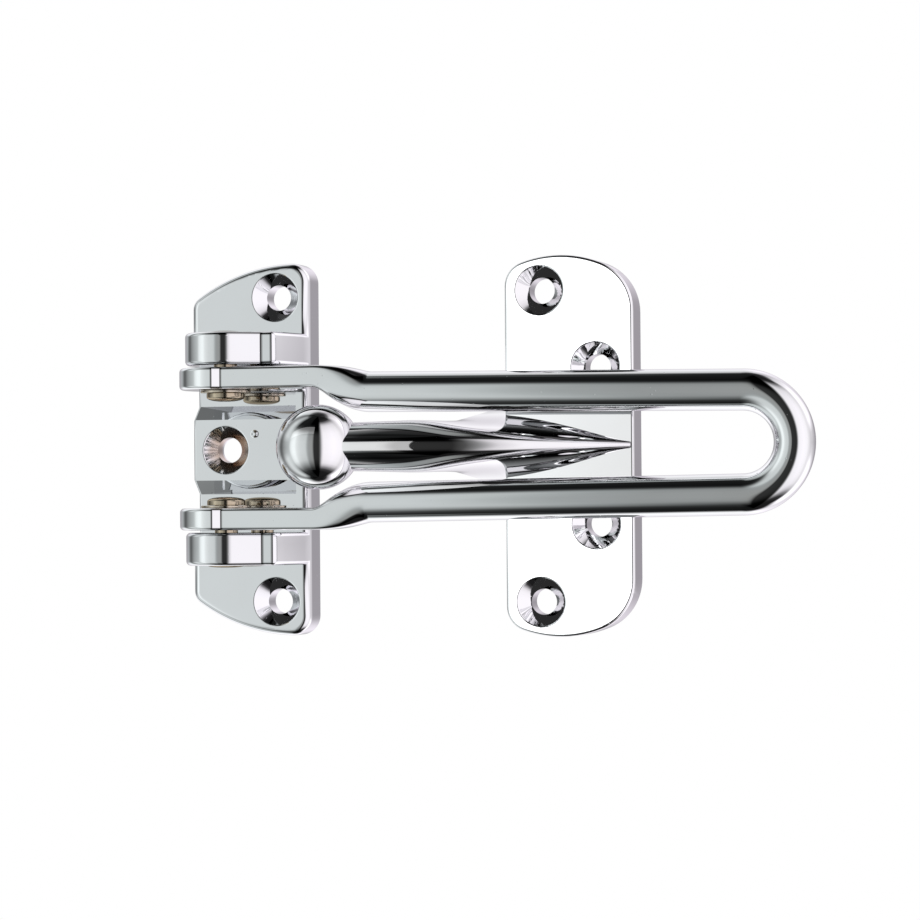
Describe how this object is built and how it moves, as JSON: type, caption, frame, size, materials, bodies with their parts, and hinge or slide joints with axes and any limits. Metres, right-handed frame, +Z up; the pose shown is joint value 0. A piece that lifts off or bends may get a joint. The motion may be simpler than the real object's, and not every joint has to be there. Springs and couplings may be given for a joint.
{
  "type": "door guard",
  "caption": "Swing bar door guard: a hinge bracket with pivoting U bar and a striker plate with a ball arm.",
  "frame": {"origin": "where the axis of the bracket's middle screw hole meets the mounting plane", "axes": "+Z up along the pivots, +X from the hinge bracket towards the striker, +Y into the door; the guard stands out towards -Y"},
  "size_m": [0.1311, 0.0299, 0.0756],
  "materials": {
    "chrome_casting": "polished chrome plating on a zinc casting",
    "chrome_bar": "polished chrome plating on a formed bar",
    "chrome_striker": "polished chrome plating on a zinc casting",
    "nickel_pin": "warm bright nickel plating",
    "nickel_washer": "warm bright nickel plating"
  },
  "bodies": {
    "fixed_halves": {"hinge_bracket": "chrome_casting", "ball_striker": "chrome_striker", "pivot_pin_upper": "nickel_pin", "pivot_pin_lower": "nickel_pin", "washer_upper": "nickel_washer", "washer_lower": "nickel_washer"},
    "bar": {"swing_bar": "chrome_bar"}
  },
  "joints": [
    {"name": "bar_swing", "type": "hinge", "parent": "fixed_halves", "child": "bar", "pos_m": [0.0029, -0.013, 0], "axis": [0, 0, -1], "range_deg": [0, 180]}
  ]
}
